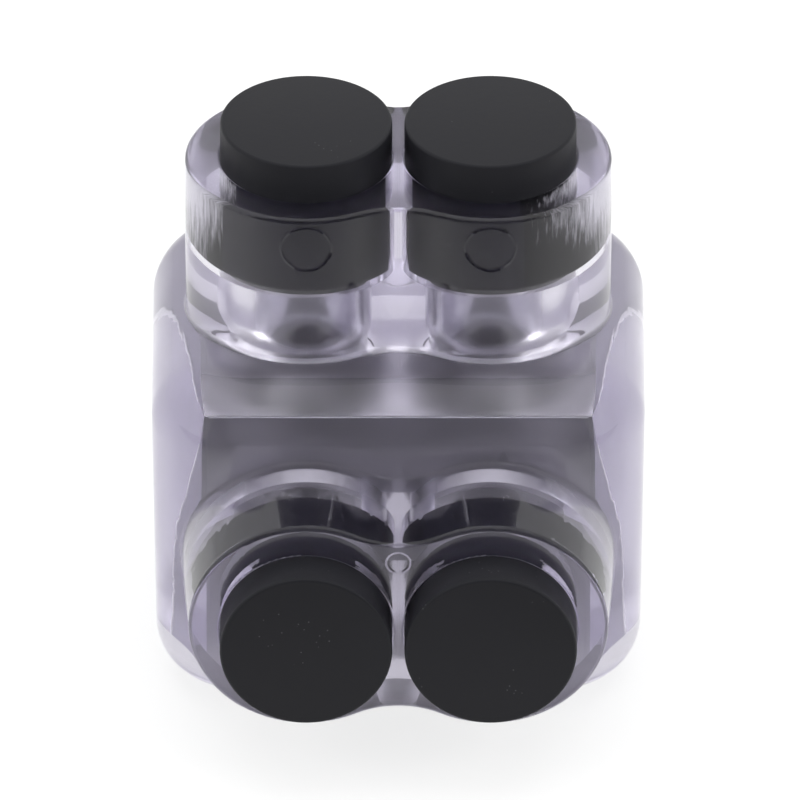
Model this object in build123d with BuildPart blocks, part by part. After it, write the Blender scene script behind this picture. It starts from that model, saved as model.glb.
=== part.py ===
from build123d import *
import os
from math import sqrt

# Insulated two-port tap connector: a clear moulded cover over an aluminium block,
# with two screw ports on top, two wire ports in front and a plug in each port.
# Millimetres. X runs across, the wire ports face -Y, and the screw ports face +Z.
# The origin is on the flat underside, below the middle of the two screw axes.

# Moulded cover
body_width = 52.1          # at the underside
body_height = 39.7
body_draft = 0.9           # degrees, the walls lean out towards the top
side_wall = 5.45           # beside the block
front_wall = 3.1
back_wall = 3.1
top_wall = 3.9
base_wall = 4.0
front_corner = 9.5
back_corner = 9.0
top_edge = 7.5
bottom_edge = 6.0

# Collar of the screw ports
screw_collar_height = 18.0
screw_collar_wall = 3.75   # round each port
screw_collar_front_blend = 9.8
screw_collar_back_blend = 4.5
screw_collar_root = 0.6    # blend into the top of the body

# Collar of the wire ports
wire_collar_reach = 33.2   # from the screw axes to the collar's face
wire_collar_wall = 3.3     # round each port, at the face
wire_collar_lift = 0.4     # the collar's centres stand this much above the wire axes
wire_collar_blend = 10.8
wire_collar_draft = 4.0    # degrees
wire_collar_root = 0.4     # blend into the front of the body
seat_wall = 4.1            # between a wire plug's seat and the block
collar_rim = 0.5           # rounded edge of each collar's face
bore_rim = 0.3             # rounded mouth of each port

# Aluminium block
side_gap = 0.25            # the cover stands off the block at its two sides
block_back = 17.9          # from the screw axes
axis_drop = 1.35           # the wire axes lie this much below the middle of the block
bore_side_wall = 2.95      # metal outside each wire bore
bore_web = 4.8             # metal between the two wire bores
block_edge = 0.2

# Plugs
plug_length = 15.6
plug_proud = 4.4           # how far a seated plug stands out of its collar
plug_over_bore = 1.75      # a plug's radius is this much more than the wire bore's
plug_rim = 0.35            # broken edge of the outer face
plug_nose = 0.9            # length of the tapered nose that starts the plug into its port
plug_nose_inset = 0.5      # the nose ends this much slimmer

# Set screws
screw_radius = 4.765
screw_proud = 0.4          # above the block
screw_top_bevel = 0.8
screw_tip_bevel = 1.3
socket_across_flats = 4.76
socket_depth = 4.8
hole_mouth = 0.7           # countersink of a screw hole

# Clearances
running_clearance = 0.05   # all round a plug in its port, and a screw in its hole
driver_clearance = 0.835   # round a set screw in the way down to it
wire_clearance = 0.3       # the cover's wire passage stands back this much from the block's bore
tip_clearance = 0.1        # between a set screw's tip and the open wire bore

# Sizes that follow from those above
block_width = body_width - 2 * (side_wall + side_gap)
wire_bore_radius = (block_width - 2 * bore_side_wall - bore_web) / 4
port_pitch = 2 * wire_bore_radius + bore_web
block_base = base_wall
block_top = body_height - top_wall
wire_axis_height = (block_base + block_top) / 2 - axis_drop
half_pitch = port_pitch / 2
screw_collar_top = body_height + screw_collar_height
plug_radius = wire_bore_radius + plug_over_bore
port_radius = plug_radius + running_clearance
port_depth = plug_length - plug_proud
block_front = wire_collar_reach - port_depth - seat_wall
body_front = block_front + front_wall
body_back = block_back + back_wall
screw_collar_radius = port_radius + screw_collar_wall
wire_collar_radius = port_radius + wire_collar_wall
wire_passage_radius = wire_bore_radius + wire_clearance
screw_hole_radius = screw_radius + running_clearance
screw_bore_radius = screw_radius + driver_clearance
screw_top = block_top + screw_proud
screw_length = screw_top - wire_axis_height - wire_bore_radius - tip_clearance
embed = 6.0                # how far a collar's solid starts inside the body
port_points = [(-half_pitch, 0), (half_pitch, 0)]
front_plane = Plane(origin=(0, -wire_collar_reach, wire_axis_height), x_dir=(1, 0, 0), z_dir=(0, -1, 0))
os.makedirs("parts", exist_ok=True)


def lobed_outline(lobe_radius, lower_blend, upper_blend, lift=0.0):
    """Two round lobes joined by valleys whose arcs are tangent to both."""
    with BuildSketch() as outline:
        with Locations(*[(x, lift) for x, _ in port_points]):
            Circle(lobe_radius)
        for blend, side in ((lower_blend, -1), (upper_blend, 1)):
            reach = lobe_radius + blend
            valley = side * sqrt(reach**2 - half_pitch**2)
            touch_x = half_pitch * blend / reach
            touch_y = lift + valley * lobe_radius / reach
            with BuildLine():
                Polyline((0, lift), (touch_x, touch_y), (0, lift + valley), (-touch_x, touch_y), close=True)
            make_face()
            with Locations((0, lift + valley)):
                Circle(blend, mode=Mode.SUBTRACT)
    return outline.sketch


# Moulded cover: one piece of clear soft plastic
with BuildPart() as insulating_cover:
    with BuildSketch(Plane.XY) as body_plan:
        with Locations((0, (body_back - body_front) / 2)):
            Rectangle(body_width, body_front + body_back)
        fillet(body_plan.vertices().sort_by(Axis.Y)[:2], front_corner)
        fillet(body_plan.vertices().sort_by(Axis.Y)[-2:], back_corner)
    extrude(amount=body_height, taper=-body_draft)
    fillet(insulating_cover.faces().sort_by(Axis.Z)[-1].edges(), top_edge)
    fillet(insulating_cover.faces().sort_by(Axis.Z)[0].edges(), bottom_edge)

    # The screw ports' collar rises from the top as a figure of eight
    with BuildSketch(Plane.XY.offset(body_height - embed)):
        add(lobed_outline(screw_collar_radius, screw_collar_front_blend, screw_collar_back_blend))
    extrude(amount=screw_collar_height + embed)
    screw_roots = insulating_cover.edges(Select.NEW).filter_by_position(
        Axis.Z, body_height - embed, body_height + 0.1
    )
    fillet(screw_roots, screw_collar_root)
    fillet(insulating_cover.faces().sort_by(Axis.Z)[-1].edges(), collar_rim)

    # The wire ports' collar stands out of the front and narrows towards its face
    with BuildSketch(front_plane):
        add(lobed_outline(wire_collar_radius, wire_collar_blend, wire_collar_blend, wire_collar_lift))
    extrude(amount=-(wire_collar_reach - body_front + embed), taper=-wire_collar_draft)
    wire_roots = insulating_cover.edges(Select.NEW).filter_by_position(
        Axis.Y, -body_front - 1.0, -body_front + embed
    )
    fillet(wire_roots, wire_collar_root)
    fillet(insulating_cover.faces().sort_by(Axis.Y)[0].edges(), collar_rim)

    # Each screw port: a wide seat for its plug, then a narrower way down to the screw
    with Locations(Plane.XY.offset(screw_collar_top)):
        with Locations(*port_points):
            Hole(port_radius, depth=port_depth)
            Hole(screw_bore_radius, depth=screw_collar_top - block_top)

    # Each wire port: a wide seat for its plug, then the wire's way to the block
    with Locations(front_plane):
        with Locations(*port_points):
            Hole(port_radius, depth=port_depth)
            Hole(wire_passage_radius, depth=wire_collar_reach - block_front)
    port_mouths = insulating_cover.edges().filter_by(GeomType.CIRCLE).filter_by(
        lambda edge: abs(edge.radius - port_radius) < 0.01
    )
    fillet(port_mouths.sort_by(Axis.Z)[-2:] + port_mouths.sort_by(Axis.Y)[:2], bore_rim)

    # The room for the block: the cover touches it except at its two sides
    with Locations((0, (block_back - block_front) / 2, (block_base + block_top) / 2)):
        Box(
            block_width + 2 * side_gap,
            block_front + block_back,
            block_top - block_base,
            mode=Mode.SUBTRACT,
        )
insulating_cover.part.label = "insulating_cover"
export_step(insulating_cover.part, "parts/insulating_cover.step")

# Aluminium block: two wire bores along Y, and a screw hole down into each
with BuildPart() as terminal_block:
    with Locations((0, (block_back - block_front) / 2, (block_base + block_top) / 2)):
        Box(block_width, block_front + block_back, block_top - block_base)
    chamfer(terminal_block.edges(), block_edge)
    with Locations(front_plane.offset(block_front - wire_collar_reach)):
        with Locations(*port_points):
            Hole(wire_bore_radius)
    with Locations(Plane.XY.offset(block_top)):
        with Locations(*port_points):
            Hole(screw_hole_radius, depth=block_top - wire_axis_height)
    screw_mouths = terminal_block.edges().filter_by(GeomType.CIRCLE).filter_by_position(
        Axis.Z, block_top - 0.01, block_top + 0.01
    )
    chamfer(screw_mouths, hole_mouth)
terminal_block.part.label = "terminal_block"
export_step(terminal_block.part, "parts/terminal_block.step")

# Set screws: bevelled at both ends, with a hexagon socket in the top
for side, x in zip(("left", "right"), (-half_pitch, half_pitch)):
    with BuildPart() as set_screw:
        with Locations((x, 0, screw_top)):
            Cylinder(screw_radius, screw_length, align=(Align.CENTER, Align.CENTER, Align.MAX))
        chamfer(set_screw.edges().sort_by(Axis.Z)[-1], screw_top_bevel)
        chamfer(set_screw.edges().sort_by(Axis.Z)[0], screw_tip_bevel)
        with BuildSketch(Plane.XY.offset(screw_top)):
            with Locations((x, 0)):
                RegularPolygon(socket_across_flats / 2, 6, major_radius=False)
        extrude(amount=-socket_depth, mode=Mode.SUBTRACT)
    set_screw.part.label = "set_screw_" + side
    export_step(set_screw.part, "parts/set_screw_" + side + ".step")

# Plugs: one solid moulding, the same in a screw port and in a wire port
with BuildPart() as plug:
    Cylinder(plug_radius, plug_length, align=(Align.CENTER, Align.CENTER, Align.MIN))
    fillet(plug.edges().sort_by(Axis.Z)[-1], plug_rim)
    nose = plug.edges().sort_by(Axis.Z)[0]
    chamfer(nose, plug_nose, plug_nose_inset, reference=plug.faces().sort_by(Axis.Z)[1])
screw_seat_plane = Plane.XY.offset(screw_collar_top - port_depth)
wire_seat_plane = front_plane.offset(-port_depth)
for port, seat in (("screw", screw_seat_plane), ("wire", wire_seat_plane)):
    for side, x in zip(("left", "right"), (-half_pitch, half_pitch)):
        with BuildPart() as seated_plug:
            with Locations(seat):
                with Locations((x, 0)):
                    add(plug.part)
        seated_plug.part.label = port + "_plug_" + side
        export_step(seated_plug.part, "parts/" + port + "_plug_" + side + ".step")
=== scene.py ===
import math

import bmesh
import bpy
from bmesh.types import BMEdge, BMFace, BMVert
from mathutils import Matrix, Vector, noise


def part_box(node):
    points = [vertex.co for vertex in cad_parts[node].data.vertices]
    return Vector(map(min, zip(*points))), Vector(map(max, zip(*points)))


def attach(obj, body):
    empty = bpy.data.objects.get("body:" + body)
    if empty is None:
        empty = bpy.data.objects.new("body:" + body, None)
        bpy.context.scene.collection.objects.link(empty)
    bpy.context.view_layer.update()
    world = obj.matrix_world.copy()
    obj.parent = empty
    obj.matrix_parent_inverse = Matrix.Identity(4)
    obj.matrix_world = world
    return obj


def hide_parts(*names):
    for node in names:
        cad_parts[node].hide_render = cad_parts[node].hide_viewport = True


bl_info = {
    "name": "Insulated Tap Connector",
    "version": (1, 0, 0),
    "blender": (4, 5, 0),
    "location": "3D View > Sidebar > Connector",
    "description": "Dresses the packed connector: clear cover, aluminium block, screws and plugs",
    "category": "Object",
}

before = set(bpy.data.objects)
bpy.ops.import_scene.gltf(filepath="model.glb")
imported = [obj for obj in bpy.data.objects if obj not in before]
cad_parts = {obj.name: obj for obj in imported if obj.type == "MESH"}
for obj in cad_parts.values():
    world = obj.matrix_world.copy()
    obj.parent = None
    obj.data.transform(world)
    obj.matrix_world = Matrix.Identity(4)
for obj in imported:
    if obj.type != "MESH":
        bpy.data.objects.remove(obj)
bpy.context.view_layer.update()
SIDES = (("left", -1.0), ("right", 1.0))

# Fixed sizes, in metres
SAME = 1e-6                  # places closer than this count as one
WELD = 1e-7                  # vertices closer than this are merged
SLACK = 1e-5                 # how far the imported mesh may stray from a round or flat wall
PORT_CLEARANCE = 0.00005     # between a plug and the wall of its port
SCREW_WAY = 0.0058           # a radius just outside the ways down to the screws
WIRE_WAY = 0.0080            # a radius just outside the cover's wire passages
SEAT = 0.0092                # a radius just outside the plugs' seats
SEAT_SLICE = 0.0001          # half the thickness of a slice that holds a flat seat
RELIEF = 0.001               # heights in the cover's skin are shares of this
SEAM_HALF_WIDTH = 0.00012
PIN_MARK_WIDTH = 0.00022
PIN_MARK_HEIGHT = 0.045      # a share of RELIEF

# How tool marks are scaled along X, Y and Z: they are longest where the number is smallest
ALONG_X = (60.0, 900.0, 900.0)
NO_DIRECTION = (900.0, 900.0, 900.0)
ALONG_PLUG = (2600.0, 2600.0, 260.0)


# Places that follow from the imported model

def centre(node):
    low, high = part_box(node)
    return (low + high) / 2


def port_x(side):
    return centre("set_screw_" + side).x


# Sizes and colours a user may change

class CONNECTOR_PG_cover(bpy.types.PropertyGroup):
    tint: bpy.props.FloatVectorProperty(
        name="Tint", description="Colour that the clear vinyl takes on in depth",
        default=(0.72, 0.67, 0.85), size=3, subtype="COLOR", min=0.0, max=1.0)
    depth: bpy.props.FloatProperty(
        name="Tint density", description="How quickly the vinyl takes on its tint, per metre",
        default=30.0, min=0.0)
    peel: bpy.props.FloatProperty(
        name="Surface ripple", description="Height of the soft ripple on the moulded skin",
        default=0.00002, min=0.0, unit="LENGTH")
    core_roughness: bpy.props.FloatProperty(
        name="Core roughness", description="Extra roughness of the room round the block",
        default=0.2, min=0.0, max=1.0)
    haze: bpy.props.FloatProperty(
        name="Haze", description="How cloudy the vinyl is in depth, per metre",
        default=40.0, min=0.0)
    # Painted shade: a darker colour for the walls of the ways down to the screws
    bowl_shade: bpy.props.FloatVectorProperty(
        name="Oil film", description="Colour of the oily walls of the ways down to the screws",
        default=(0.6, 0.59, 0.66), size=3, subtype="COLOR", min=0.0, max=1.0)
    bowl_height: bpy.props.FloatProperty(
        name="Bowl height",
        description="From the block's top to the middle of each way's ball-shaped end",
        default=0.0044, min=0.001, unit="LENGTH")
    bowl_mouth: bpy.props.FloatProperty(
        name="Bowl mouth", description="Clearance round the set screw at the foot of the bowl",
        default=0.0001, min=0.0, unit="LENGTH")
    seam: bpy.props.FloatProperty(
        name="Seam height", description="Height of the mould's parting line",
        default=0.00009, min=0.0, unit="LENGTH")


class CONNECTOR_PG_block(bpy.types.PropertyGroup):
    metal: bpy.props.FloatVectorProperty(
        name="Aluminium", description="Colour of the sawn and drilled bar",
        default=(0.56, 0.545, 0.61), size=3, subtype="COLOR", min=0.0, max=1.0)
    contact: bpy.props.FloatProperty(
        name="Contact", description="How far metal presses into the soft cover that clings to it",
        default=0.00003, min=0.0, unit="LENGTH")
    film: bpy.props.FloatProperty(
        name="Air film",
        description="Thin film of air between the cover and the block's top, back and base",
        default=0.00003, min=0.0, unit="LENGTH")
    air_gap: bpy.props.FloatProperty(
        name="Air gap", description="Depth of the air pocket at each side of the block",
        default=0.00025, min=0.0, unit="LENGTH")
    paste: bpy.props.FloatVectorProperty(
        name="Joint paste", description="Colour of the dark paste behind the screws",
        default=(0.05, 0.049, 0.057), size=3, subtype="COLOR", min=0.0, max=1.0)
    # Painted highlight: a paler, brighter aluminium colour on the web between the bores
    web: bpy.props.FloatVectorProperty(
        name="Bright web",
        description="Colour of the web between the bores, where air parts it from the cover",
        default=(0.92, 0.91, 0.94), size=3, subtype="COLOR", min=0.0, max=1.0)
    # Width of a painted highlight: a pale strip along the line where the cover lets go of the
    # block's side
    bead: bpy.props.FloatProperty(
        name="Bead",
        description="Width of the pale line where the cover lets go of the block's side",
        default=0.00026, min=0.0, unit="LENGTH")


class CONNECTOR_PG_screw(bpy.types.PropertyGroup):
    # A dark colour for the set screws, far darker than bare steel
    metal: bpy.props.FloatVectorProperty(
        name="Plated steel", description="Colour of the set screws",
        default=(0.16, 0.155, 0.17), size=3, subtype="COLOR", min=0.0, max=1.0)
    pitch: bpy.props.FloatProperty(
        name="Thread pitch", description="Distance from one thread to the next",
        default=0.0015875, min=0.0005, unit="LENGTH")
    thread_depth: bpy.props.FloatProperty(
        name="Thread depth", description="Depth of the thread below the crests",
        default=0.00085, min=0.0001, unit="LENGTH")
    socket: bpy.props.FloatProperty(
        name="Socket", description="Hexagon socket across its flats",
        default=0.00476, min=0.001, unit="LENGTH")
    socket_depth: bpy.props.FloatProperty(
        name="Socket depth", description="Depth of the hexagon socket",
        default=0.0042, min=0.001, unit="LENGTH")
    top_bevel: bpy.props.FloatProperty(
        name="Top bevel", description="Bevel round the socket end",
        default=0.0008, min=0.0, unit="LENGTH")
    tip_bevel: bpy.props.FloatProperty(
        name="Tip bevel", description="Bevel round the end that presses on the wire",
        default=0.0013, min=0.0, unit="LENGTH")


class CONNECTOR_PG_plug(bpy.types.PropertyGroup):
    black: bpy.props.FloatVectorProperty(
        name="Black vinyl", description="Colour of the four plugs",
        default=(0.007, 0.007, 0.0085), size=3, subtype="COLOR", min=0.0, max=1.0)
    # Colour of the pale streaks at the outer side of the screw ports' plugs
    streak_colour: bpy.props.FloatVectorProperty(
        name="Scuffs",
        description="Colour of the pale scuffs at the outer side of the screw ports' plugs",
        default=(0.66, 0.65, 0.7), size=3, subtype="COLOR", min=0.0, max=1.0)
    squeeze: bpy.props.FloatProperty(
        name="Squeeze", description="How far the soft plug presses into the wall of its port",
        default=0.00002, min=0.0, unit="LENGTH")
    rim: bpy.props.FloatProperty(
        name="Rim", description="Radius of the plug's outer edge",
        default=0.00035, min=0.0001, unit="LENGTH")
    nose: bpy.props.FloatProperty(
        name="Nose", description="Length of the plug's tapered nose",
        default=0.0009, min=0.0001, unit="LENGTH")
    nose_inset: bpy.props.FloatProperty(
        name="Nose inset", description="How much slimmer the nose ends",
        default=0.0005, min=0.0, unit="LENGTH")
    proud: bpy.props.FloatProperty(
        name="Proud", description="How far a seated plug stands out of its collar",
        default=0.0044, min=0.0, unit="LENGTH")
    web_angle: bpy.props.FloatProperty(
        name="Web angle",
        description="Half of the arc, next to the other port, where the plug isn't pressed",
        default=math.radians(24.0), subtype="ANGLE")


class CONNECTOR_PG_stage(bpy.types.PropertyGroup):
    elevation: bpy.props.FloatProperty(
        name="Camera height", description="How far above level the camera looks from",
        default=math.radians(33.0), subtype="ANGLE")
    frame_width: bpy.props.FloatProperty(
        name="Frame width", description="Width of the picture at the connector",
        default=0.0864, min=0.01, unit="LENGTH")
    distance: bpy.props.FloatProperty(
        name="Camera distance", description="From the camera to the connector",
        default=3.5, min=0.2, unit="LENGTH")
    card: bpy.props.FloatVectorProperty(
        name="Dark card", description="Colour of the card in front, which only reflections show",
        default=(0.2, 0.2, 0.208), size=3, subtype="COLOR", min=0.0, max=1.0)
    card_start: bpy.props.FloatProperty(
        name="Card distance", description="From the screw axes to the near edge of the dark card",
        default=0.045, min=0.04, unit="LENGTH")
    card_fade: bpy.props.FloatProperty(
        name="Card fade", description="Length over which the card's near edge fades out",
        default=0.09, min=0.001, unit="LENGTH")


# Node helpers

def new_material(name):
    """A new material, its node tree and its shader."""
    material = bpy.data.materials.new(name)
    material.use_nodes = True
    tree = material.node_tree
    return material, tree, tree.nodes["Principled BSDF"]


def set_inputs(node, **values):
    """Sets unlinked inputs by name, with _ where the name has a space."""
    for name, value in values.items():
        node.inputs[name.replace("_", " ")].default_value = value


def add(tree, kind, **values):
    """A node with its properties and unlinked inputs set by name."""
    node = tree.nodes.new(kind)
    for name, value in values.items():
        if hasattr(node, name):
            setattr(node, name, value)
        else:
            set_inputs(node, **{name: value})
    return node


def math_node(tree, operation, a, b=None, clamp=False):
    """The result of one sum, whose terms are numbers or sockets."""
    node = add(tree, "ShaderNodeMath", operation=operation, use_clamp=clamp)
    for socket, value in zip(node.inputs, (a, b)):
        if isinstance(value, bpy.types.NodeSocket):
            tree.links.new(value, socket)
        elif value is not None:
            socket.default_value = value
    return node.outputs[0]


def new_group(name, inputs, outputs):
    """An empty node group with inputs (name, kind, default) and outputs (name, kind)."""
    group = bpy.data.node_groups.new(name, "ShaderNodeTree")
    for label, kind, default in inputs:
        socket = group.interface.new_socket(name=label, in_out="INPUT", socket_type=kind)
        if default is not None:
            socket.default_value = default
    for label, kind in outputs:
        group.interface.new_socket(name=label, in_out="OUTPUT", socket_type=kind)
    return group, group.nodes.new("NodeGroupInput"), group.nodes.new("NodeGroupOutput")


def use_group(tree, group, **values):
    """Places a node group, with its inputs set or linked by name."""
    node = tree.nodes.new("ShaderNodeGroup")
    node.node_tree = group
    for name, value in values.items():
        socket = node.inputs[name.replace("_", " ")]
        if isinstance(value, bpy.types.NodeSocket):
            tree.links.new(value, socket)
        else:
            socket.default_value = value
    return node


def moulded_skin_group():
    """Soft ripple and fine grain of a moulded vinyl skin."""
    if "moulded skin" in bpy.data.node_groups:
        return bpy.data.node_groups["moulded skin"]
    group, source, result = new_group(
        "moulded skin",
        (("Position", "NodeSocketVector", None), ("Ripple Scale", "NodeSocketFloat", 140.0),
         ("Grain Scale", "NodeSocketFloat", 2400.0), ("Grain Share", "NodeSocketFloat", 0.1)),
        (("Height", "NodeSocketFloat"), ("Mottle", "NodeSocketFloat")))
    link = group.links.new
    ripple = add(group, "ShaderNodeTexNoise", Detail=2.0, Roughness=0.5)
    grain = add(group, "ShaderNodeTexNoise", Detail=3.0, Roughness=0.6)
    mottle = add(group, "ShaderNodeTexNoise", Scale=60.0, Detail=4.0, Roughness=0.6)
    link(source.outputs["Position"], ripple.inputs["Vector"])
    link(source.outputs["Position"], grain.inputs["Vector"])
    link(source.outputs["Position"], mottle.inputs["Vector"])
    link(source.outputs["Ripple Scale"], ripple.inputs["Scale"])
    link(source.outputs["Grain Scale"], grain.inputs["Scale"])
    fine = math_node(group, "MULTIPLY", grain.outputs["Fac"], source.outputs["Grain Share"])
    link(math_node(group, "ADD", ripple.outputs["Fac"], fine), result.inputs["Height"])
    link(mottle.outputs["Fac"], result.inputs["Mottle"])
    return group


def inside_box_group():
    """1 inside a box, 0 outside it."""
    if "inside box" in bpy.data.node_groups:
        return bpy.data.node_groups["inside box"]
    group, source, result = new_group(
        "inside box",
        (("Position", "NodeSocketVector", None), ("Centre", "NodeSocketVector", (0.0, 0.0, 0.0)),
         ("Half Size", "NodeSocketVector", (0.01, 0.01, 0.01))),
        (("Mask", "NodeSocketFloat"),))
    link = group.links.new
    offset = add(group, "ShaderNodeVectorMath", operation="SUBTRACT")
    link(source.outputs["Position"], offset.inputs[0])
    link(source.outputs["Centre"], offset.inputs[1])
    size = add(group, "ShaderNodeVectorMath", operation="ABSOLUTE")
    link(offset.outputs["Vector"], size.inputs[0])
    room = add(group, "ShaderNodeVectorMath", operation="SUBTRACT")
    link(source.outputs["Half Size"], room.inputs[0])
    link(size.outputs["Vector"], room.inputs[1])
    axes = group.nodes.new("ShaderNodeSeparateXYZ")
    link(room.outputs["Vector"], axes.inputs[0])
    least = math_node(group, "MINIMUM", axes.outputs["X"], axes.outputs["Y"])
    least = math_node(group, "MINIMUM", least, axes.outputs["Z"])
    link(math_node(group, "GREATER_THAN", least, 0.0), result.inputs["Mask"])
    return group


def round_two_axes_group():
    """1 inside either of two like cylinders, left and right, between two heights."""
    if "round two axes" in bpy.data.node_groups:
        return bpy.data.node_groups["round two axes"]
    group, source, result = new_group(
        "round two axes",
        (("Across", "NodeSocketFloat", 0.0), ("Other", "NodeSocketFloat", 0.0),
         ("Along", "NodeSocketFloat", 0.0), ("Offset", "NodeSocketFloat", 0.01),
         ("Radius", "NodeSocketFloat", 0.005), ("Low", "NodeSocketFloat", 0.0),
         ("High", "NodeSocketFloat", 0.01)),
        (("Mask", "NodeSocketFloat"),))
    given = source.outputs
    away = math_node(group, "SUBTRACT", math_node(group, "ABSOLUTE", given["Across"]),
                     given["Offset"])
    squares = math_node(group, "ADD", math_node(group, "POWER", away, 2.0),
                        math_node(group, "POWER", given["Other"], 2.0))
    near = math_node(group, "LESS_THAN", math_node(group, "SQRT", squares), given["Radius"])
    above = math_node(group, "GREATER_THAN", given["Along"], given["Low"])
    below = math_node(group, "LESS_THAN", given["Along"], given["High"])
    between = math_node(group, "MULTIPLY", above, below)
    group.links.new(math_node(group, "MULTIPLY", near, between), result.inputs["Mask"])
    return group


def raised_ring_group():
    """A fine raised ring round a centre, such as an ejector pin leaves."""
    if "raised ring" in bpy.data.node_groups:
        return bpy.data.node_groups["raised ring"]
    group, source, result = new_group(
        "raised ring",
        (("Position", "NodeSocketVector", None), ("Centre", "NodeSocketVector", (0.0, 0.0, 0.0)),
         ("Radius", "NodeSocketFloat", 0.0027), ("Width", "NodeSocketFloat", 0.0002)),
        (("Mask", "NodeSocketFloat"),))
    link = group.links.new
    span = add(group, "ShaderNodeVectorMath", operation="DISTANCE")
    link(source.outputs["Position"], span.inputs[0])
    link(source.outputs["Centre"], span.inputs[1])
    off = math_node(group, "ABSOLUTE",
                    math_node(group, "SUBTRACT", span.outputs["Value"], source.outputs["Radius"]))
    share = math_node(group, "DIVIDE", off, source.outputs["Width"])
    link(math_node(group, "SUBTRACT", 1.0, share, clamp=True), result.inputs["Mask"])
    return group


def dust_group():
    """Sparse specks of dust and lint."""
    if "dust specks" in bpy.data.node_groups:
        return bpy.data.node_groups["dust specks"]
    group, source, result = new_group(
        "dust specks",
        (("Position", "NodeSocketVector", None), ("Scale", "NodeSocketFloat", 900.0),
         ("Speck Size", "NodeSocketFloat", 0.12)),
        (("Mask", "NodeSocketFloat"),))
    link = group.links.new
    cells = add(group, "ShaderNodeTexVoronoi", feature="F1")
    link(source.outputs["Position"], cells.inputs["Vector"])
    link(source.outputs["Scale"], cells.inputs["Scale"])
    patches = add(group, "ShaderNodeTexNoise", Scale=130.0, Detail=2.0)
    link(source.outputs["Position"], patches.inputs["Vector"])
    near = math_node(group, "LESS_THAN", cells.outputs["Distance"], source.outputs["Speck Size"])
    where = math_node(group, "GREATER_THAN", patches.outputs["Fac"], 0.6)
    link(math_node(group, "MULTIPLY", near, where), result.inputs["Mask"])
    return group


def tool_marks_group():
    """Streaks that a saw, drill or die leaves in metal, drawn out along one direction."""
    if "tool marks" in bpy.data.node_groups:
        return bpy.data.node_groups["tool marks"]
    group, source, result = new_group(
        "tool marks",
        (("Position", "NodeSocketVector", None),
         ("Stretch", "NodeSocketVector", (60.0, 1500.0, 1500.0))),
        (("Height", "NodeSocketFloat"), ("Tone", "NodeSocketFloat")))
    link = group.links.new
    drawn = add(group, "ShaderNodeVectorMath", operation="MULTIPLY")
    link(source.outputs["Position"], drawn.inputs[0])
    link(source.outputs["Stretch"], drawn.inputs[1])
    streaks = add(group, "ShaderNodeTexNoise", Scale=1.0, Detail=4.0, Roughness=0.65)
    link(drawn.outputs["Vector"], streaks.inputs["Vector"])
    stains = add(group, "ShaderNodeTexNoise", Scale=120.0, Detail=5.0, Roughness=0.6)
    link(source.outputs["Position"], stains.inputs["Vector"])
    link(streaks.outputs["Fac"], result.inputs["Height"])
    both = math_node(group, "ADD", math_node(group, "MULTIPLY", streaks.outputs["Fac"], 0.45),
                     math_node(group, "MULTIPLY", stains.outputs["Fac"], 0.55))
    link(both, result.inputs["Tone"])
    return group


def position(tree):
    """Where a point lies on its object, in metres."""
    return tree.nodes.new("ShaderNodeTexCoord").outputs["Object"]


def separate(tree, vector):
    """The X, Y and Z of a vector, by name."""
    node = tree.nodes.new("ShaderNodeSeparateXYZ")
    tree.links.new(vector, node.inputs[0])
    return node.outputs


def mix_colours(tree, factor, first, second):
    """A colour between two, each of which is a socket or three numbers."""
    node = tree.nodes.new("ShaderNodeMix")
    node.data_type = "RGBA"
    tree.links.new(factor, node.inputs["Factor"])
    for socket, value in ((node.inputs["A"], first), (node.inputs["B"], second)):
        if isinstance(value, bpy.types.NodeSocket):
            tree.links.new(value, socket)
        else:
            socket.default_value = (*value, 1.0)
    return node.outputs["Result"]


def map_range(tree, value, start, end, low, high, interpolation="LINEAR"):
    """Maps start to end onto low to high, and goes no further outside."""
    node = add(tree, "ShaderNodeMapRange", clamp=True, interpolation_type=interpolation)
    set_inputs(node, From_Min=start, From_Max=end, To_Min=low, To_Max=high)
    tree.links.new(value, node.inputs["Value"])
    return node.outputs["Result"]


def spread(tree, value, low, high):
    """Maps a noise value, mostly 0.3 to 0.7, onto low to high."""
    return map_range(tree, value, 0.3, 0.7, low, high)


def bump(tree, shader, height, distance):
    """Raises the surface's shading by height, where 1 is distance in metres."""
    node = add(tree, "ShaderNodeBump", Strength=1.0, Distance=distance)
    tree.links.new(height, node.inputs["Height"])
    tree.links.new(node.outputs["Normal"], shader.inputs["Normal"])


def plain_view(tree):
    """1 for rays from the camera, mirrors and glass, which all see the plain background."""
    rays = tree.nodes.new("ShaderNodeLightPath").outputs
    bent = math_node(tree, "MAXIMUM", rays["Is Glossy Ray"], rays["Is Transmission Ray"])
    return math_node(tree, "MAXIMUM", rays["Is Camera Ray"], bent)


# Materials

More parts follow.
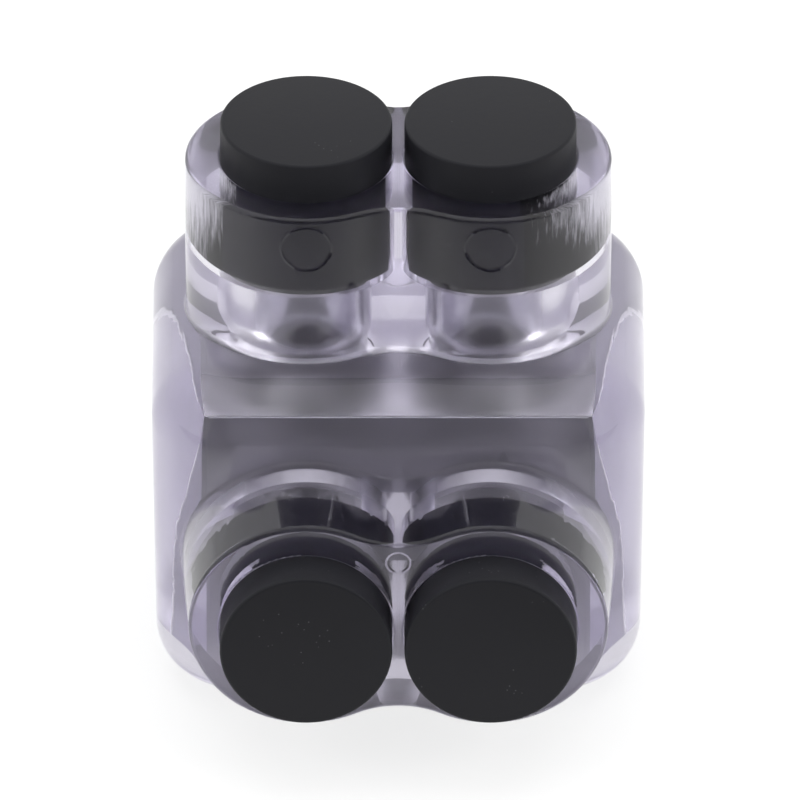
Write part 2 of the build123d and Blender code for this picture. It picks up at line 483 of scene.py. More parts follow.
def clear_vinyl(sizes):
    """Clear soft vinyl: polished outside, duller inside, faintly tinted and hazy in depth."""
    material, tree, shader = new_material("clear_vinyl")
    link = tree.links.new
    place = position(tree)
    axes = separate(tree, place)
    set_inputs(shader, Transmission_Weight=1.0, IOR=1.53)
    skin = use_group(tree, moulded_skin_group(), Position=place, Ripple_Scale=210.0,
                     Grain_Share=0.02)
    inside, screw_ways = inner_walls(tree, place, axes)
    dull = math_node(tree, "MULTIPLY", inside, sizes.core_roughness)
    polish = spread(tree, skin.outputs["Mottle"], 0.02, 0.06)
    link(math_node(tree, "ADD", polish, dull), shader.inputs["Roughness"])
    # Painted shade: the walls of the ways down to the screws are given a darker colour
    clean = mix_colours(tree, skin.outputs["Mottle"], (0.97, 0.965, 0.985), (1.0, 0.998, 1.0))
    link(mix_colours(tree, screw_ways, clean, tuple(sizes.bowl_shade)), shader.inputs["Base Color"])
    bump(tree, shader, skin_relief(tree, place, axes, skin, sizes), RELIEF)
    tint = add(tree, "ShaderNodeVolumeAbsorption", Color=(*sizes.tint, 1.0), Density=sizes.depth)
    haze = add(tree, "ShaderNodeVolumeScatter", Color=(0.985, 0.975, 1.0, 1.0),
               Density=sizes.haze, Anisotropy=0.88)
    both = tree.nodes.new("ShaderNodeAddShader")
    link(tint.outputs[0], both.inputs[0])
    link(haze.outputs[0], both.inputs[1])
    link(both.outputs[0], tree.nodes["Material Output"].inputs["Volume"])
    return material


def inner_walls(tree, place, axes):
    """Masks of all walls that came off sanded cores, and of the ways down to the screws alone."""
    low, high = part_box("terminal_block")
    margin = Vector((0.0006, 0.0003, 0.0003))
    room = use_group(tree, inside_box_group(), Position=place, Centre=(low + high) / 2,
                     Half_Size=(high - low) / 2 + margin)
    across, forward, up = axes["X"], axes["Y"], axes["Z"]
    above_wires = math_node(tree, "SUBTRACT", up, centre("wire_plug_left").z)
    screw_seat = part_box("screw_plug_left")[0].z
    wire_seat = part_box("wire_plug_left")[1].y
    # The ways to the screws and the block, and the seats that they start from
    masks = []
    for other, along, radius, start, end in (
            (forward, up, SCREW_WAY, high.z, screw_seat),
            (forward, up, SEAT, screw_seat - SEAT_SLICE, screw_seat + SEAT_SLICE),
            (above_wires, forward, WIRE_WAY, wire_seat, low.y),
            (above_wires, forward, SEAT, wire_seat - SEAT_SLICE, wire_seat + SEAT_SLICE)):
        way_in = use_group(tree, round_two_axes_group(), Across=across, Other=other, Along=along,
                           Offset=port_x("right"), Radius=radius, Low=start, High=end)
        masks.append(way_in.outputs["Mask"])
    inside = room.outputs["Mask"]
    for mask in masks:
        inside = math_node(tree, "MAXIMUM", inside, mask)
    return inside, masks[0]


def skin_relief(tree, place, axes, skin, sizes):
    """The cover's ripple, parting line and pin marks, as shares of RELIEF."""
    # The parting line runs up the middle of the front and over both collars
    off_centre = math_node(tree, "ABSOLUTE", axes["X"])
    seam = math_node(tree, "LESS_THAN", off_centre, SEAM_HALF_WIDTH)
    ridge = math_node(tree, "MULTIPLY", seam, sizes.seam / RELIEF)
    ripple = math_node(tree, "MULTIPLY", skin.outputs["Height"], sizes.peel / RELIEF)
    height = math_node(tree, "ADD", ridge, ripple)
    # Round pin marks: one on each screw collar, one between the wire ports
    low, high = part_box("insulating_cover")
    collar_front, below_top, above_wires = -0.01305, 0.0036, 0.0085
    marks = [((port_x(side), collar_front, high.z - below_top), 0.0027) for side, _ in SIDES]
    marks.append(((0.0, low.y, centre("wire_plug_left").z + above_wires), 0.0012))
    for middle, radius in marks:
        ring = use_group(tree, raised_ring_group(), Position=place, Centre=middle, Radius=radius,
                         Width=PIN_MARK_WIDTH)
        raised = math_node(tree, "MULTIPLY", ring.outputs["Mask"], PIN_MARK_HEIGHT)
        height = math_node(tree, "ADD", height, raised)
    return height


def drawn_metal(name, colour, stretch, dark, rough):
    """Sawn, drawn or drilled metal, with marks in a darker shade of its colour.

    stretch scales the marks, dark is their shade, rough the least and the most roughness.
    """
    material, tree, shader = new_material(name)
    link = tree.links.new
    marks = use_group(tree, tool_marks_group(), Position=position(tree), Stretch=stretch)
    tone = marks.outputs["Tone"]
    set_inputs(shader, Metallic=1.0)
    worn = tuple(dark * c for c in colour)
    link(mix_colours(tree, tone, worn, tuple(colour)), shader.inputs["Base Color"])
    link(spread(tree, tone, *rough), shader.inputs["Roughness"])
    bump(tree, shader, marks.outputs["Height"], 0.000006)
    return material


def mottled(name, scale, pattern, first, second, **inputs):
    """A material whose colour wanders between two, by the moulded skin's Height or Mottle."""
    material, tree, shader = new_material(name)
    skin = use_group(tree, moulded_skin_group(), Position=position(tree), Ripple_Scale=scale)
    colour = mix_colours(tree, skin.outputs[pattern], first, second)
    tree.links.new(colour, shader.inputs["Base Color"])
    set_inputs(shader, **inputs)
    return material


def painted_bead_highlight():
    """A painted highlight: a pale strip that stands in for light on the vinyl where the cover lets
    go of the block.
    """
    return mottled("painted_bead_highlight", 900.0, "Height", (0.7, 0.69, 0.75), (0.95, 0.94, 0.98),
                   Roughness=0.4)


def joint_paste(sizes):
    """Grey oily paste that keeps the joint free of oxide."""
    dark, light = [tuple(share * c for c in sizes.paste) for share in (0.5, 1.4)]
    return mottled("joint_paste", 700.0, "Height", dark, light,
                   Roughness=0.5, Specular_IOR_Level=0.2)


def wet_vinyl(sizes):
    """The plug where it is pressed against the cover: vinyl on vinyl gives no reflection."""
    lilac = tuple(c * share for c, share in zip(sizes.black, (1.0, 0.93, 1.3)))
    return mottled("wet_vinyl", 900.0, "Mottle", lilac, tuple(2.2 * c for c in lilac),
                   Roughness=0.5, Specular_IOR_Level=0.08)


def pale_streaked_vinyl(sizes):
    """The same contact with pale streaks, which run along the plug and crowd at its outer side."""
    material, tree, shader = new_material("pale_streaked_vinyl")
    place = position(tree)
    axes = separate(tree, place)
    streaks = use_group(tree, tool_marks_group(), Position=place, Stretch=ALONG_PLUG)
    tone = streaks.outputs["Height"]
    low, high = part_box("screw_plug_left")
    # Where the pale streaks thin out, from start to end, and what is added to their tone on either
    # side
    for axis, start, end, before, after in (
            ("Y", -0.0087, -0.0005, -0.34, 0.28),                # few at the front
            ("Y", 0.0015, 0.0048, 0.0, -0.6),                    # none at the back
            ("Z", low.z + 0.002, low.z + 0.0075, -0.3, 0.06),    # few at the nose
            ("Z", high.z - 0.006, high.z - 0.0046, 0.0, -0.3)):  # few at the mouth
        tone = math_node(tree, "ADD", tone,
                         map_range(tree, axes[axis], start, end, before, after))
    share = spread(tree, tone, 0.0, 1.0)
    tree.links.new(mix_colours(tree, share, tuple(sizes.black), tuple(sizes.streak_colour)),
                   shader.inputs["Base Color"])
    set_inputs(shader, Roughness=0.5, Specular_IOR_Level=0.0)
    return material


def black_vinyl(sizes):
    """Soft black vinyl with a fine grain and a few specks of dust."""
    material, tree, shader = new_material("black_vinyl")
    link = tree.links.new
    place = position(tree)
    skin = use_group(tree, moulded_skin_group(), Position=place, Ripple_Scale=900.0,
                     Grain_Scale=3200.0, Grain_Share=0.25)
    specks = use_group(tree, dust_group(), Position=place, Scale=1500.0, Speck_Size=0.1)
    grey, dust = tuple(1.6 * c for c in sizes.black), (0.06, 0.06, 0.065)
    body = mix_colours(tree, skin.outputs["Mottle"], tuple(sizes.black), grey)
    link(mix_colours(tree, specks.outputs["Mask"], body, dust), shader.inputs["Base Color"])
    link(spread(tree, skin.outputs["Mottle"], 0.42, 0.52), shader.inputs["Roughness"])
    set_inputs(shader, Specular_IOR_Level=0.15)
    bump(tree, shader, skin.outputs["Height"], 0.00001)
    return material


# Mesh helpers

def added(geometry, kind):
    """The vertices, edges or faces among what a bmesh operator has made."""
    return [item for item in geometry if isinstance(item, kind)]


def finish_mesh(name, shape, materials, body, smooth):
    """Turns a bmesh into a finished piece on its body, shaded smooth up to bends of smooth."""
    bmesh.ops.remove_doubles(shape, verts=shape.verts, dist=WELD)
    bmesh.ops.recalc_face_normals(shape, faces=shape.faces)
    sharp = math.radians(smooth)
    for edge in shape.edges:
        edge.smooth = len(edge.link_faces) == 2 and edge.calc_face_angle(0.0) < sharp
    mesh = bpy.data.meshes.new(name)
    shape.to_mesh(mesh)
    shape.free()
    for face in mesh.polygons:
        face.use_smooth = True
    for material in materials:
        mesh.materials.append(material)
    piece = bpy.data.objects.new(name, mesh)
    bpy.context.scene.collection.objects.link(piece)
    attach(piece, body)
    return piece


def stage_object(name, shape, material):
    """Turns a bmesh into an object of the stage."""
    mesh = bpy.data.meshes.new(name)
    shape.to_mesh(mesh)
    shape.free()
    mesh.materials.append(material)
    piece = bpy.data.objects.new(name, mesh)
    bpy.context.scene.collection.objects.link(piece)
    return piece


def keep_normals(mesh, source):
    """Gives the faces that a merged copy shares with its source the source's exact normals."""
    def corners(owner):
        for face in owner.polygons:
            for corner in face.loop_indices:
                place = owner.vertices[owner.loops[corner].vertex_index].co
                yield corner, tuple(round(value, 6) for value in (*face.center, *place))

    known = {spot: source.corner_normals[corner].vector.copy() for corner, spot in corners(source)}
    mesh.normals_split_custom_set([known.get(spot, (0.0, 0.0, 0.0)) for _, spot in corners(mesh)])


# One operator for each piece or group of like pieces

class CONNECTOR_OT_cover(bpy.types.Operator):
    """Shape the ways down to the screws and give the moulded cover its clear vinyl"""
    bl_idname = "connector.cover"
    bl_label = "Clear Cover"

    def execute(self, context):
        sizes = context.scene.connector_cover
        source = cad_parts["insulating_cover"].data
        shape = bmesh.new()
        shape.from_mesh(source)
        bmesh.ops.remove_doubles(shape, verts=shape.verts, dist=WELD)
        for side, _ in SIDES:
            self.bowl(shape, port_x(side), sizes)
        cover = finish_mesh("moulded_cover", shape, [clear_vinyl(sizes)], "connector",
                            40.0)
        keep_normals(cover.data, source)
        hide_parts("insulating_cover")
        return {"FINISHED"}

    def bowl(self, shape, x, sizes):
        """The way down to a screw ends in a ball shape, as the pin of its mould did."""
        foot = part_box("terminal_block")[1].z
        low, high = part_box("set_screw_left")
        mouth = (high.x - low.x) / 2 + sizes.bowl_mouth
        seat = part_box("screw_plug_left")[0].z

        def reach(vert):
            return math.hypot(vert.co.x - x, vert.co.y)

        near_axis = 0.008
        floor_rim = [v for v in shape.verts if abs(v.co.z - foot) < SAME and reach(v) < near_axis]
        radius = reach(floor_rim[0])
        walls = [f for f in shape.faces if f.calc_center_median().z > foot + SLACK
                 and all(abs(reach(v) - radius) < 2 * SLACK and v.co.z < seat + SLACK
                         for v in f.verts)]
        bmesh.ops.delete(shape, geom=walls, context="FACES_ONLY")
        bmesh.ops.delete(shape, geom=[e for e in shape.edges if e.is_wire], context="EDGES")
        open_edges = [e for e in shape.edges if e.is_boundary and reach(e.verts[0]) < 1.1 * radius]
        ring = [e for e in open_edges if abs(e.verts[0].co.z - foot) < SAME]
        seat_rim = [e for e in open_edges if e not in ring]
        # From the mouth round the screw up to the ball's widest ring
        middle = foot + sizes.bowl_height
        start, steps = math.acos(mouth / radius), 12
        profile = [(mouth, foot)]
        for i in range(steps + 1):
            turn = start * (1 - i / steps)
            profile.append((radius * math.cos(turn), middle - radius * math.sin(turn)))
        for r, z in profile:
            grown = bmesh.ops.extrude_edge_only(shape, edges=ring)["geom"]
            for vert in added(grown, BMVert):
                out = Vector((vert.co.x - x, vert.co.y)).normalized() * r
                vert.co = (x + out.x, out.y, z)
            ring = [e for e in added(grown, BMEdge) if e.is_boundary]
        bmesh.ops.bridge_loops(shape, edges=ring + seat_rim)


class CONNECTOR_OT_block(bpy.types.Operator):
    """Fit the aluminium block into the cover"""
    bl_idname = "connector.block"
    bl_label = "Terminal Block"

    def execute(self, context):
        sizes = context.scene.connector_block
        low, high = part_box("terminal_block")
        # Two of these are painted highlights: a pale strip where the cover lets go of the side, and
        # a brighter, glossier aluminium on the web
        materials = [drawn_metal("sawn_aluminium", sizes.metal, ALONG_X, 0.78, (0.34, 0.46)),
                     painted_bead_highlight(), joint_paste(sizes),
                     drawn_metal("painted_web_highlight", sizes.web, ALONG_X, 0.95, (0.1, 0.2))]
        shape = bmesh.new()
        shape.from_mesh(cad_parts["terminal_block"].data)
        bmesh.ops.remove_doubles(shape, verts=shape.verts, dist=WELD)
        # The cover clings to the front; a film of air parts it from the top, the back and the base
        for axis, limit, push in ((1, low, -sizes.contact), (1, high, -sizes.film),
                                  (2, low, sizes.film), (2, high, -sizes.film)):
            wall = [v for v in shape.verts if abs(v.co[axis] - limit[axis]) < SAME]
            move = Vector((0, 0, 0))
            move[axis] = push
            bmesh.ops.translate(shape, verts=wall, vec=move)
        self.painted_web_highlight(shape, low)
        for side, _ in SIDES:
            self.paste(shape, port_x(side), high, sizes)
        for _, way in SIDES:
            self.cling(shape, low, high, way, sizes)
        block = finish_mesh("fitted_block", shape, materials, "connector", 20.0)
        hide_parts("terminal_block")
        return {"FINISHED"}

    # The places of the block's materials
    LIFTED, PASTE, WEB = 1, 2, 3

    def painted_web_highlight(self, shape, low):
        """The foot of the web between the bores, with a painted highlight: a brighter, glossier
        aluminium where the cover doesn't touch it.
        """
        from_bore_axis, above_bore_axis = 0.0065, 0.003
        wide = port_x("right") - from_bore_axis
        top = centre("wire_plug_left").z + above_bore_axis

        def front():
            return [f for f in shape.faces if all(v.co.y < low.y + SAME for v in f.verts)]

        for place, normal in (((wide, 0, 0), (1, 0, 0)), ((-wide, 0, 0), (1, 0, 0)),
                              ((0, 0, top), (0, 0, 1))):
            faces = front()
            edges = list(dict.fromkeys(e for f in faces for e in f.edges))
            verts = list(dict.fromkeys(v for f in faces for v in f.verts))
            bmesh.ops.bisect_plane(shape, geom=verts + edges + faces, plane_co=place,
                                   plane_no=normal)
        # These faces get the painted highlight
        for face in front():
            middle = face.calc_center_median()
            if abs(middle.x) < wide and middle.z < top:
                face.material_index = self.WEB

    def paste(self, shape, x, high, sizes):
        """A thin layer of joint paste on the top, round the back of a screw."""
        top, into_metal = high.z + sizes.contact, 0.00005
        steps, side_angle = 24, 80
        # Its inner and outer radius, how far it goes back and to either side, and its least reach
        inner, outer, back, beside, least = 0.0057, 0.0125, 0.0172, 0.0034, 0.006
        rows = []
        for i in range(steps + 1):
            turn = math.radians(-side_angle + 2 * side_angle * i / steps)
            across, away = math.sin(turn), math.cos(turn)
            stray = 0.0008 * noise.noise(Vector((across * 6, away * 6, x * 900)))
            reach = min(outer + stray, back / max(0.3, away), beside / max(0.01, abs(across)))
            rows.append([shape.verts.new((x + r * across, r * away, top))
                         for r in (inner, max(reach, least))])
        faces = [shape.faces.new((a[0], a[1], b[1], b[0])) for a, b in zip(rows, rows[1:])]
        grown = bmesh.ops.extrude_face_region(shape, geom=faces)["geom"]
        bmesh.ops.translate(shape, verts=added(grown, BMVert),
                            vec=(0, 0, -sizes.contact - sizes.film - into_metal))
        sides = {f for row in rows for v in row for f in v.link_faces}
        for face in sides | set(added(grown, BMFace)):
            face.material_index = self.PASTE

    def cling(self, shape, low, high, way, sizes):
        """Metal that one side of the cover clings to: down the front and along the top."""
        # Each strip's free edge, as shares of the side from its front and from its top
        down_front = self.ragged([(0.0, 0.0), (0.03, 0.11), (0.125, 0.285), (0.195, 0.5),
                                  (0.225, 0.73), (0.24, 1.0)], way)
        along_top = self.ragged([(0.0, 0.0), (0.08, 0.03), (0.29, 0.1), (0.48, 0.135),
                                 (0.72, 0.19), (1.0, 0.25)], way + 5.0)
        outer = way * (high.x + sizes.air_gap + sizes.contact)
        deep, tall, into_metal = high.y - low.y, high.z - low.z, 0.0002
        for line, corner in ((down_front, (0.0, 1.0)), (along_top, (1.0, 0.0))):
            places = [Vector((outer, low.y + a * deep, high.z - sizes.film - b * tall))
                      for a, b in line + [corner]]
            # The strip's front end presses into the cover as the block's front does
            for place in places:
                if place.y < low.y + SAME:
                    place.y -= sizes.contact
            face = shape.faces.new([shape.verts.new(place) for place in places])
            grown = bmesh.ops.extrude_face_region(shape, geom=[face])["geom"]
            bmesh.ops.translate(shape, verts=added(grown, BMVert),
                                vec=(-way * (sizes.air_gap + into_metal), 0, 0))
            flat = added(grown, BMFace) + [face]
            bmesh.ops.triangulate(shape, faces=[f for f in flat if f.is_valid])
            # The two strips share their first stretch, which has no painted highlight
            self.painted_lift_highlight(shape, places[len(places) // 8:-1], way, sizes)

    def painted_lift_highlight(self, shape, places, way, sizes):
        """A fine painted highlight along the line where the cover lets go of the metal."""
        rise = Vector((way * 0.00003, 0, 0))
        ahead = places[1:] + places[-1:]
        behind = places[:1] + places[:-1]
        rows = []
        for place, after, before in zip(places, ahead, behind):
            along = (after - before).normalized()
            across = along.cross(Vector((1, 0, 0))) * sizes.bead
            rows.append([shape.verts.new(place + rise + across * s) for s in (-0.5, 0.5)])
        for first, second in zip(rows, rows[1:]):
            face = shape.faces.new((first[0], first[1], second[1], second[0]))
            face.material_index = self.LIFTED

    def ragged(self, corners, seed):
        """The line through the corners, cut into short steps that stray a little."""
        line, most_stray, straight_start = [], 0.006, 0.02
        for (a0, b0), (a1, b1) in zip(corners, corners[1:]):
            # 14 steps to each fifth of the side
            steps = max(2, int(14 * (abs(a1 - a0) + abs(b1 - b0)) / 0.2))
            for i in range(steps):
                share = i / steps
                a, b = a0 + (a1 - a0) * share, b0 + (b1 - b0) * share
                stray = 0.0
                if a + b > straight_start:
                    stray = most_stray * noise.noise(Vector((a * 40, b * 40, seed)))
                line.append((a + stray, b + stray))
        return line + [corners[-1]]


class CONNECTOR_OT_screws(bpy.types.Operator):
    """Cut the set screws' threads and sockets"""
    bl_idname = "connector.screws"
    bl_label = "Set Screws"

    def execute(self, context):
        sizes = context.scene.connector_screw
        # The set screws get a dark steel colour
        metal = drawn_metal("dark_steel", sizes.metal, NO_DIRECTION, 0.6, (0.4, 0.6))
        for side, _ in SIDES:
            node = "set_screw_" + side
            shape = self.threaded(node, sizes)
            screw = finish_mesh("threaded_screw_" + side, shape, [metal], node, 40.0)
            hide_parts(node)
        return {"FINISHED"}

    def threaded(self, node, sizes):
        """A helical sweep of one thread, cut flat and bevelled at both ends, with its socket."""
        low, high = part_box(node)
        radius, length = (high.x - low.x) / 2, high.z - low.z
        steps, turns = 48, math.ceil(length / sizes.pitch) + 2
        shape = bmesh.new()
        # One thread from root to root, as shares of the pitch and of the thread's depth
        flat = 0.12
        section = [(0.0, 1.0), (flat, 1.0), (0.5 - flat / 2, 0.0), (0.5 + flat / 2, 0.0),
                   (1.0 - flat, 1.0), (1.0, 1.0)]
        corners = [shape.verts.new((radius - sizes.thread_depth * deep, 0.0,
                                    (up - 1.5) * sizes.pitch)) for up, deep in section]
        line = [shape.edges.new(pair) for pair in zip(corners, corners[1:])]
        bmesh.ops.spin(shape, geom=corners + line, axis=(0, 0, 1), dvec=(0, 0, sizes.pitch / steps),
                       angle=math.tau * turns, steps=steps * turns)
        bmesh.ops.remove_doubles(shape, verts=shape.verts, dist=SAME)
        for height, way in ((0.0, -1), (length, 1)):
            bmesh.ops.bisect_plane(shape, geom=shape.verts[:] + shape.edges[:] + shape.faces[:],
                                   plane_co=(0, 0, height), plane_no=(0, 0, way), clear_outer=True)
        for vert in shape.verts:
            reach = math.hypot(vert.co.x, vert.co.y)
            limit = min(radius - max(0.0, sizes.top_bevel - (length - vert.co.z)),
                        radius - max(0.0, sizes.tip_bevel - vert.co.z))
            vert.co.xy *= min(1.0, limit / reach)
        bottom = [e for e in shape.edges if e.is_boundary and all(v.co.z < SAME for v in e.verts)]
        bmesh.ops.contextual_create(shape, geom=bottom)
        self.socket(shape, length, sizes)
        bmesh.ops.triangulate(shape, faces=[f for f in shape.faces if len(f.verts) > 4])
        foot = Vector(((low.x + high.x) / 2, (low.y + high.y) / 2, low.z))
        bmesh.ops.translate(shape, verts=shape.verts, vec=foot)
        return shape

    def socket(self, shape, length, sizes):
        """A hexagon socket in the top, with a conical floor as its drill left it."""
        cone_depth = 0.0006
        top = [e for e in shape.edges
               if e.is_boundary and all(abs(v.co.z - length) < SAME for v in e.verts)]
        turn = Matrix.Rotation(math.radians(30), 4, "Z") @ Matrix.Translation((0, 0, length))
        hexagon = bmesh.ops.create_circle(shape, cap_ends=False, radius=sizes.socket / math.sqrt(3),
                                          segments=6, matrix=turn)["verts"]
        rim = list(dict.fromkeys(e for v in hexagon for e in v.link_edges))
        walls = bmesh.ops.extrude_edge_only(shape, edges=rim)["geom"]
        floor = added(walls, BMVert)
        bmesh.ops.translate(shape, verts=floor, vec=(0, 0, -sizes.socket_depth))
        floor_rim = [e for e in added(walls, BMEdge) if all(v in floor for v in e.verts)]
        cone = bmesh.ops.extrude_edge_only(shape, edges=floor_rim)["geom"]
        bmesh.ops.pointmerge(shape, verts=added(cone, BMVert),
                             merge_co=(0, 0, length - sizes.socket_depth - cone_depth))
        bmesh.ops.triangle_fill(shape, use_beauty=True, use_dissolve=False, edges=top + rim)


class CONNECTOR_OT_plugs(bpy.types.Operator):
    """Press a soft black plug into each port"""
    bl_idname = "connector.plugs"
    bl_label = "Plugs"

    def execute(self, context):
        sizes = context.scene.connector_plug
        materials = [black_vinyl(sizes), wet_vinyl(sizes), pale_streaked_vinyl(sizes)]
        for port in ("screw", "wire"):
            for side, way in SIDES:
                node = port + "_plug_" + side
                shape = self.turned(node, port, way, sizes)
                plug = finish_mesh(port + "_stopper_" + side, shape, materials, node,
                                   35.0)
                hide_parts(node)
        return {"FINISHED"}

    # How a plug meets the wall of its port, and the places of its materials
    CLEAR, WET, SCUFFED = 0, 1, 2

    def turned(self, node, port, way, sizes):
        """A plug turned about its axis, and pressed out where it touches the wall of its port."""
        low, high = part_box(node)
        along = high.z - low.z if port == "screw" else high.y - low.y
        radius = (high.x - low.x) / 2
        seated = along - sizes.proud
        steps, steps_round = 24, 180
        wall = [(radius, sizes.nose + (seated - sizes.nose) * i / steps) for i in range(steps + 1)]
        rim = [(radius - sizes.rim * (1 - math.cos(turn)), along - sizes.rim * (1 - math.sin(turn)))
               for turn in (math.radians(a) for a in range(0, 91, 18))]
        profile = [(0.0, 0.0), (radius - sizes.nose_inset, 0.0), *wall, *rim, (0.0, along)]
        shape = bmesh.new()
        corners = [shape.verts.new((r, 0.0, z)) for r, z in profile]
        line = [shape.edges.new(pair) for pair in zip(corners, corners[1:])]
        bmesh.ops.spin(shape, geom=corners + line, cent=(0, 0, 0), axis=(0, 0, 1), angle=math.tau,
                       steps=steps_round, use_merge=True)
        bmesh.ops.remove_doubles(shape, verts=shape.verts, dist=WELD)
        # Only the round wall touches the port, from the nose to just inside the mouth
        touch = {}
        for vert in shape.verts:
            reach = math.hypot(vert.co.x, vert.co.y)
            share = (vert.co.z - sizes.nose) / (seated - sizes.nose)
            touch[vert] = self.CLEAR
            if reach > 0.9 * radius and -1e-4 < share < 0.98:
                touch[vert] = self.touch(vert.co, share, port, way, sizes)
            if touch[vert]:
                vert.co.xy *= (radius + PORT_CLEARANCE + sizes.squeeze) / reach
        for face in shape.faces:
            if all(touch[vert] for vert in face.verts):
                face.material_index = max(touch[vert] for vert in face.verts)
        if port == "screw":
            seat = Vector(((low.x + high.x) / 2, (low.y + high.y) / 2, low.z))
            turn = Matrix.Identity(4)
        else:
            seat = Vector(((low.x + high.x) / 2, high.y, (low.z + high.z) / 2))
            turn = Matrix.Rotation(math.radians(90), 4, "X")
        bmesh.ops.transform(shape, matrix=Matrix.Translation(seat) @ turn, verts=shape.verts)
        return shape

    def touch(self, place, share, port, way, sizes):
        """How the plug meets its port's wall here; share is 0 at its nose and 1 at the mouth."""
        # The edges of the contact wander, in waves of about a millimetre
        spot = Vector((place.x * 900, place.y * 900, place.z * 900 + way))
        stray = 0.12 * noise.noise(spot) + 0.08 * noise.noise(spot * 2.7)
        if port == "wire":
            # A wire plug touches at the top: deep in the port, and to the mouth only in the middle
            start, end, wide, narrow = 0.2, 0.68, math.radians(82), math.radians(36)
            from_top = abs(math.atan2(place.x, place.y)) + stray
            deep = start < share + 0.3 * stray < end and from_top < wide
            return self.WET if deep or (share > start and from_top < narrow) else self.CLEAR
        # A screw plug touches except at the web between the ports, and has pale streaks at its
        # outer side
        outward = math.atan2(way * place.x, -place.y)
        if abs(outward + math.radians(90)) < sizes.web_angle:
            return self.CLEAR
        first, last = math.radians(20.0 if way > 0 else 56.0), math.radians(125)
        return self.SCUFFED if first < outward < last else self.WET


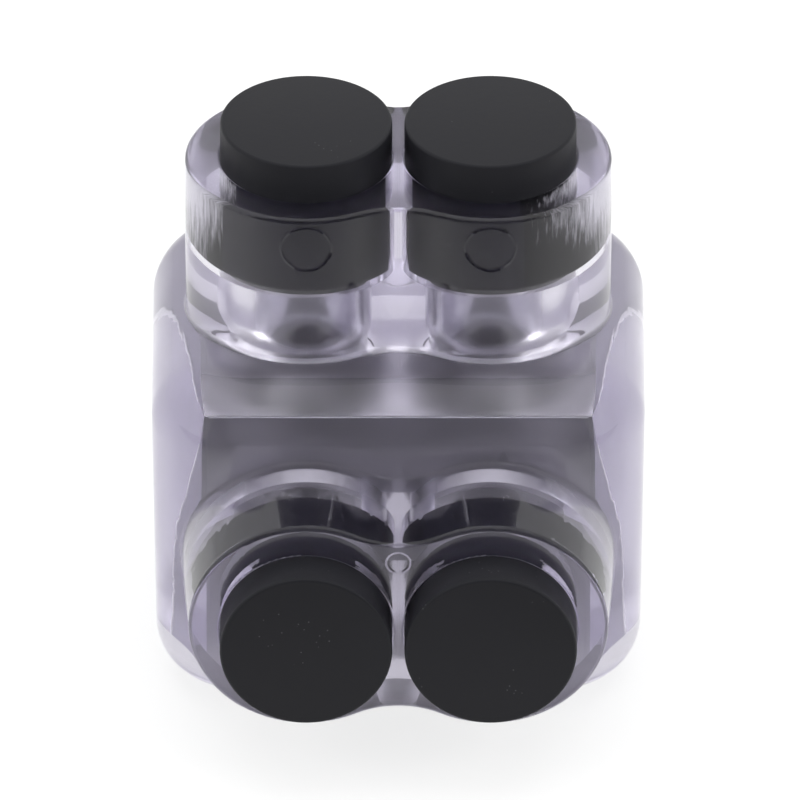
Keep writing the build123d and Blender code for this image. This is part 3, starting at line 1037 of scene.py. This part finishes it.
class CONNECTOR_OT_stage(bpy.types.Operator):
    """Set the floor, the soft studio light and the camera"""
    bl_idname = "connector.stage"
    bl_label = "Stage"

    def execute(self, context):
        sizes = context.scene.connector_stage
        scene = context.scene
        scene.view_settings.view_transform = "Standard"
        # Light that gets into the clear cover turns back and forth in its walls many times
        scene.cycles.max_bounces = 40
        scene.cycles.transmission_bounces = 40
        scene.cycles.glossy_bounces = 40
        scene.cycles.volume_bounces = 8
        self.floor()
        self.dark_card(sizes)
        self.world(scene)
        self.lights(scene)
        self.camera(scene, sizes)
        return {"FINISHED"}

    def floor(self):
        half_size, glow_share = 3.0, 0.75
        shape = bmesh.new()
        bmesh.ops.create_grid(shape, x_segments=1, y_segments=1, size=half_size)
        material, tree, shader = new_material("white_floor")
        set_inputs(shader, Base_Color=(0.82, 0.82, 0.82, 1.0), Roughness=0.8,
                   Specular_IOR_Level=0.1)
        glow = add(tree, "ShaderNodeEmission", Strength=1.0)
        mix = tree.nodes.new("ShaderNodeMixShader")
        tree.links.new(math_node(tree, "MULTIPLY", plain_view(tree), glow_share), mix.inputs[0])
        tree.links.new(shader.outputs[0], mix.inputs[1])
        tree.links.new(glow.outputs[0], mix.inputs[2])
        tree.links.new(mix.outputs[0], tree.nodes["Material Output"].inputs["Surface"])
        floor = stage_object("floor", shape, material)

    def dark_card(self, sizes):
        """A bent dark card in front, which only mirror reflections and refractions show."""
        near, far, half, tall, lift = -sizes.card_start, -1.4, 1.4, 1.6, 0.0004
        shape = bmesh.new()
        rows = [((x, near, lift), (x, far, lift), (x, far, tall)) for x in (-half, half)]
        left, right = [[shape.verts.new(place) for place in row] for row in rows]
        for i in range(2):
            shape.faces.new((left[i], right[i], right[i + 1], left[i + 1]))
        material, tree, shader = new_material("dark_card")
        set_inputs(shader, Base_Color=(*sizes.card, 1.0), Roughness=0.9, Specular_IOR_Level=0.0)
        # The near edge fades out, so that no reflection shows it as a line
        fade = map_range(tree, separate(tree, position(tree))["Y"], near, near - sizes.card_fade,
                         0.0, 1.0, "SMOOTHSTEP")
        tree.links.new(fade, shader.inputs["Alpha"])
        card = stage_object("dark_card", shape, material)
        card.visible_camera = False
        card.visible_diffuse = False
        card.visible_shadow = False

    def world(self, scene):
        """Plain white to look at, and a softer grey as light."""
        world = bpy.data.worlds.new("studio")
        world.use_nodes = True
        scene.world = world
        tree = world.node_tree
        background = tree.nodes["Background"]
        colour = mix_colours(tree, plain_view(tree), (0.6, 0.6, 0.6), (1.0, 1.0, 1.0))
        tree.links.new(colour, background.inputs["Color"])
        set_inputs(background, Strength=1.0)

    def lights(self, scene):
        """Soft lamps on all sides, with their places, widths and heights, and watts."""
        aim = Vector((0, 0, 0.03))
        for name, place, size, power in (
                ("top_softbox", (0.0, 0.15, 0.75), (0.9, 0.7), 6.0),
                ("left_softbox", (-0.75, -0.3, 0.3), (0.35, 0.8), 6.0),
                ("right_softbox", (0.75, -0.3, 0.3), (0.35, 0.8), 7.0),
                ("back_softbox", (0.0, 1.1, 0.72), (1.8, 0.5), 4.0)):
            lamp = bpy.data.lights.new(name, "AREA")
            lamp.shape = "RECTANGLE"
            lamp.size, lamp.size_y = size
            lamp.energy = power
            light = bpy.data.objects.new(name, lamp)
            light.location = place
            light.rotation_euler = (aim - Vector(place)).to_track_quat("-Z", "Y").to_euler()
            # No mirror reflection shows a lamp's shape
            light.visible_glossy = False
            light.visible_camera = False
            scene.collection.objects.link(light)

    def camera(self, scene, sizes):
        sensor, target = 36.0, Vector((0.00018, 0.0, 0.02634))
        lens = bpy.data.cameras.new("camera")
        lens.sensor_width = sensor
        lens.lens = sensor * sizes.distance / sizes.frame_width
        lens.clip_start = 0.1
        lens.clip_end = 20.0
        camera = bpy.data.objects.new("camera", lens)
        away = Vector((0, -math.cos(sizes.elevation), math.sin(sizes.elevation)))
        camera.location = target + away * sizes.distance
        camera.rotation_euler = (-away).to_track_quat("-Z", "Y").to_euler()
        scene.collection.objects.link(camera)
        scene.camera = camera


class CONNECTOR_PT_panel(bpy.types.Panel):
    """Lists the connector's pieces"""
    bl_idname = "CONNECTOR_PT_panel"
    bl_label = "Tap Connector"
    bl_space_type = "VIEW_3D"
    bl_region_type = "UI"
    bl_category = "Connector"

    def draw(self, context):
        for operator, group in PIECES:
            box = self.layout.box()
            box.operator("connector." + operator)
            settings = getattr(context.scene, "connector_" + group)
            for name in settings.__annotations__:
                box.prop(settings, name)


# The operators in their order, each with the settings it reads
PIECES = (("cover", "cover"), ("block", "block"), ("screws", "screw"), ("plugs", "plug"),
          ("stage", "stage"))
SETTINGS = {
    "cover": CONNECTOR_PG_cover, "block": CONNECTOR_PG_block, "screw": CONNECTOR_PG_screw,
    "plug": CONNECTOR_PG_plug, "stage": CONNECTOR_PG_stage,
}
CLASSES = (*SETTINGS.values(), CONNECTOR_OT_cover, CONNECTOR_OT_block, CONNECTOR_OT_screws,
           CONNECTOR_OT_plugs, CONNECTOR_OT_stage, CONNECTOR_PT_panel)


def register():
    for cls in CLASSES:
        bpy.utils.register_class(cls)
    for name, group in SETTINGS.items():
        setattr(bpy.types.Scene, "connector_" + name, bpy.props.PointerProperty(type=group))


def unregister():
    for name in SETTINGS:
        delattr(bpy.types.Scene, "connector_" + name)
    for cls in reversed(CLASSES):
        bpy.utils.unregister_class(cls)


def main():
    register()
    for operator, _ in PIECES:
        getattr(bpy.ops.connector, operator)()


if __name__ == "__main__":
    main()
